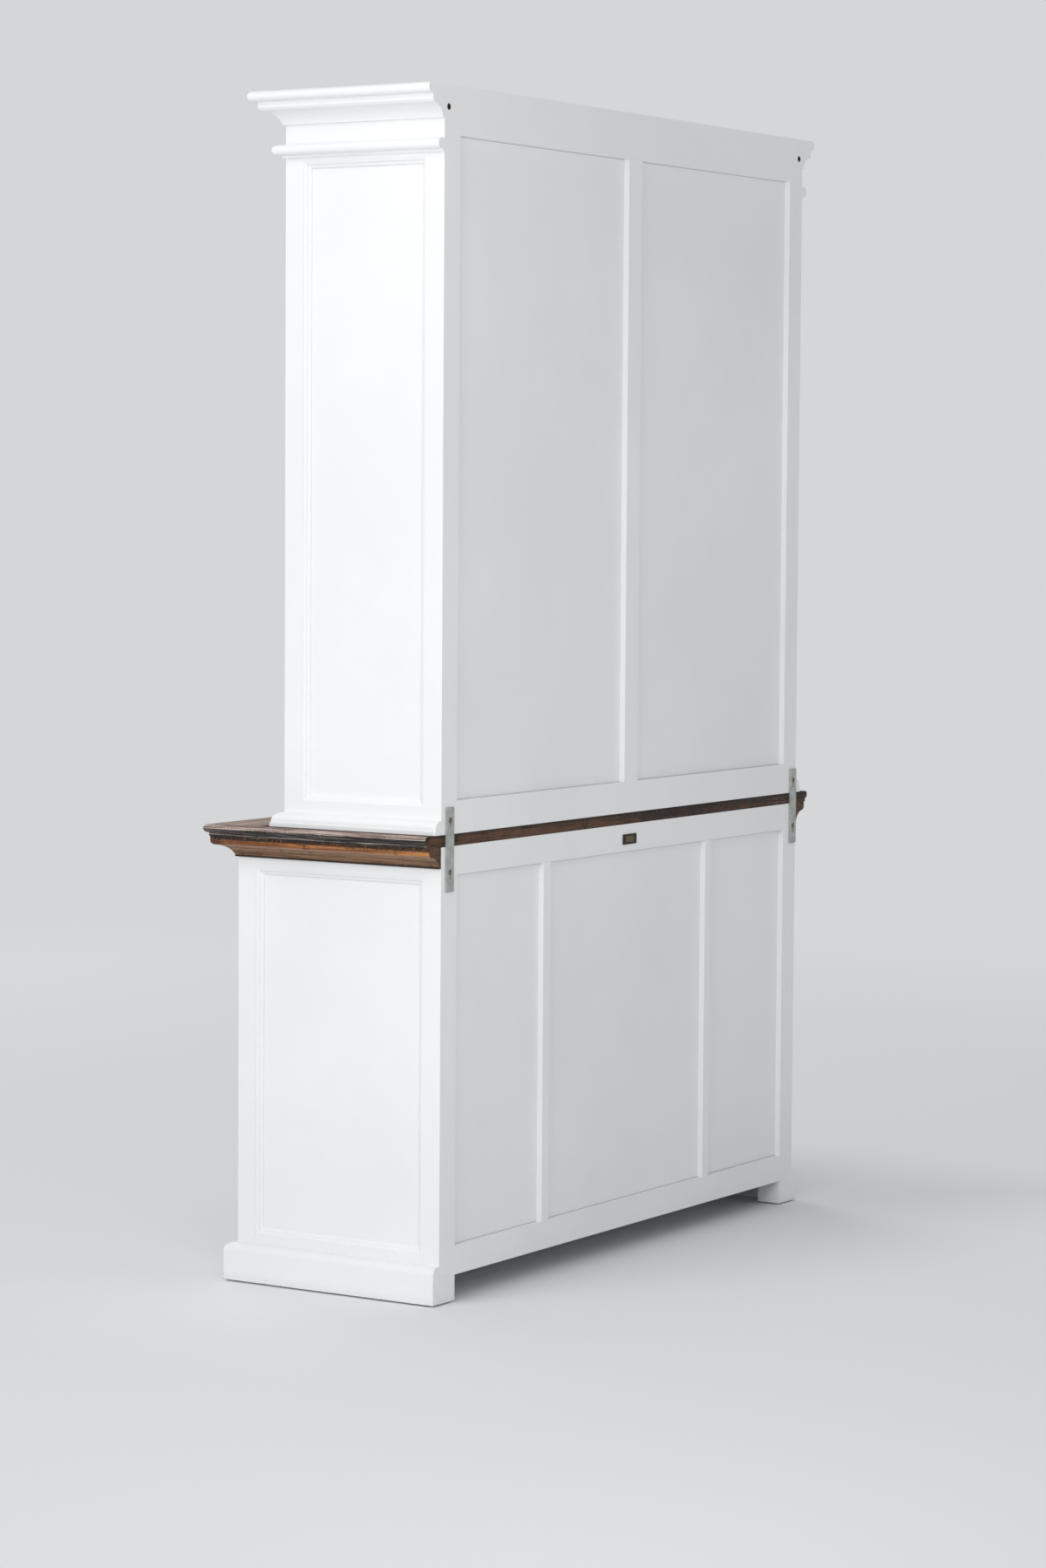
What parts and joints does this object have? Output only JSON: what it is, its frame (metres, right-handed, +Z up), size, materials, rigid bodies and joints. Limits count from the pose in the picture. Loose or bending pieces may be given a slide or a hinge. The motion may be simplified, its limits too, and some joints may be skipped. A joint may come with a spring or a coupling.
{
  "type": "kitchen hutch",
  "caption": "Two-part painted kitchen hutch: a shallow glazed cabinet on the dark wooden worktop of a deeper base with drawers and panelled doors.",
  "frame": {"origin": "on the floor, under the middle of the footprint of the worktop", "axes": "+Z up; the doors face -Y and the framed back faces +Y, against a wall; +X is the right-hand side seen from the front"},
  "size_m": [1.442, 0.4985, 2.2],
  "materials": {
    "white_paint": "semi-gloss white paint on wood",
    "stained_wood": "dark stain, rubbed through at the edges",
    "bare_wood": "planed and clear sealed",
    "clear_glass": "clear flat glass",
    "galvanised_steel": "dull zinc with stains",
    "rusty_steel": "rusted",
    "dark_bronze": "dark antiqued bronze",
    "aged_brass": "dull aged brass",
    "glide_plastic": "matt"
  },
  "bodies": {
    "cabinet": {"base_side_frames": "white_paint", "base_side_panels": "white_paint", "base_back_frame": "white_paint", "base_back_panels": "white_paint", "base_face_frame": "white_paint", "base_floor": "white_paint", "plinth": "white_paint", "foot_blocks": "white_paint", "floor_glides": "glide_plastic", "worktop": "stained_wood", "worktop_moulding": "stained_wood", "drawer_runners": "bare_wood", "hutch_side_frames": "white_paint", "hutch_side_panels": "white_paint", "hutch_back_frame": "white_paint", "hutch_back_panels": "white_paint", "hutch_face_frame": "white_paint", "hutch_floor": "white_paint", "hutch_top": "white_paint", "crown_moulding": "white_paint", "neck_moulding": "white_paint", "hutch_foot_moulding": "white_paint", "partitions": "white_paint", "shelves": "white_paint", "shelf_cleats": "white_paint", "door_catches": "white_paint", "joining_plates": "galvanised_steel", "joining_screw_heads": "rusty_steel", "wall_fixing_eyelets": "dark_bronze", "badge": "dark_bronze", "fixed_hinge_leaves": "aged_brass"},
    "hutch_door_1": {"hutch_door_1_frame": "white_paint", "hutch_door_1_glass": "clear_glass", "hutch_door_1_fittings": "dark_bronze"},
    "hutch_door_2": {"hutch_door_2_frame": "white_paint", "hutch_door_2_glass": "clear_glass", "hutch_door_2_fittings": "dark_bronze"},
    "hutch_door_3": {"hutch_door_3_frame": "white_paint", "hutch_door_3_glass": "clear_glass", "hutch_door_3_fittings": "dark_bronze"},
    "hutch_door_4": {"hutch_door_4_frame": "white_paint", "hutch_door_4_glass": "clear_glass", "hutch_door_4_fittings": "dark_bronze"},
    "base_door_1": {"base_door_1_frame": "white_paint", "base_door_1_fittings": "dark_bronze"},
    "base_door_2": {"base_door_2_frame": "white_paint", "base_door_2_fittings": "dark_bronze"},
    "base_door_3": {"base_door_3_frame": "white_paint", "base_door_3_fittings": "dark_bronze"},
    "base_door_4": {"base_door_4_frame": "white_paint", "base_door_4_fittings": "dark_bronze"},
    "left_drawer": {"left_drawer_box": "bare_wood", "left_drawer_front": "white_paint", "left_drawer_knob": "dark_bronze"},
    "middle_drawer": {"middle_drawer_box": "bare_wood", "middle_drawer_front": "white_paint", "middle_drawer_knob": "dark_bronze"},
    "right_drawer": {"right_drawer_box": "bare_wood", "right_drawer_front": "white_paint", "right_drawer_knob": "dark_bronze"}
  },
  "joints": [
    {"name": "hutch_door_1_hinge", "type": "hinge", "parent": "cabinet", "child": "hutch_door_1", "pos_m": [-0.6168, -0.1033, 1.49], "axis": [0, 0, -1], "range_deg": [0, 110]},
    {"name": "hutch_door_2_hinge", "type": "hinge", "parent": "cabinet", "child": "hutch_door_2", "pos_m": [-0.0237, -0.1033, 1.49], "axis": [0, 0, 1], "range_deg": [0, 90]},
    {"name": "hutch_door_3_hinge", "type": "hinge", "parent": "cabinet", "child": "hutch_door_3", "pos_m": [0.0237, -0.1033, 1.49], "axis": [0, 0, -1], "range_deg": [0, 90]},
    {"name": "hutch_door_4_hinge", "type": "hinge", "parent": "cabinet", "child": "hutch_door_4", "pos_m": [0.6168, -0.1033, 1.49], "axis": [0, 0, 1], "range_deg": [0, 110]},
    {"name": "base_door_1_hinge", "type": "hinge", "parent": "cabinet", "child": "base_door_1", "pos_m": [-0.6168, -0.2073, 0.36], "axis": [0, 0, -1], "range_deg": [0, 110]},
    {"name": "base_door_2_hinge", "type": "hinge", "parent": "cabinet", "child": "base_door_2", "pos_m": [-0.2848, -0.2073, 0.36], "axis": [0, 0, -1], "range_deg": [0, 110]},
    {"name": "base_door_3_hinge", "type": "hinge", "parent": "cabinet", "child": "base_door_3", "pos_m": [0.2848, -0.2073, 0.36], "axis": [0, 0, 1], "range_deg": [0, 110]},
    {"name": "base_door_4_hinge", "type": "hinge", "parent": "cabinet", "child": "base_door_4", "pos_m": [0.6168, -0.2073, 0.36], "axis": [0, 0, 1], "range_deg": [0, 110]},
    {"name": "left_drawer_slide", "type": "slide", "parent": "cabinet", "child": "left_drawer", "axis": [0, -1, 0], "range_m": [0, 0.3]},
    {"name": "middle_drawer_slide", "type": "slide", "parent": "cabinet", "child": "middle_drawer", "axis": [0, -1, 0], "range_m": [0, 0.3]},
    {"name": "right_drawer_slide", "type": "slide", "parent": "cabinet", "child": "right_drawer", "axis": [0, -1, 0], "range_m": [0, 0.3]}
  ]
}
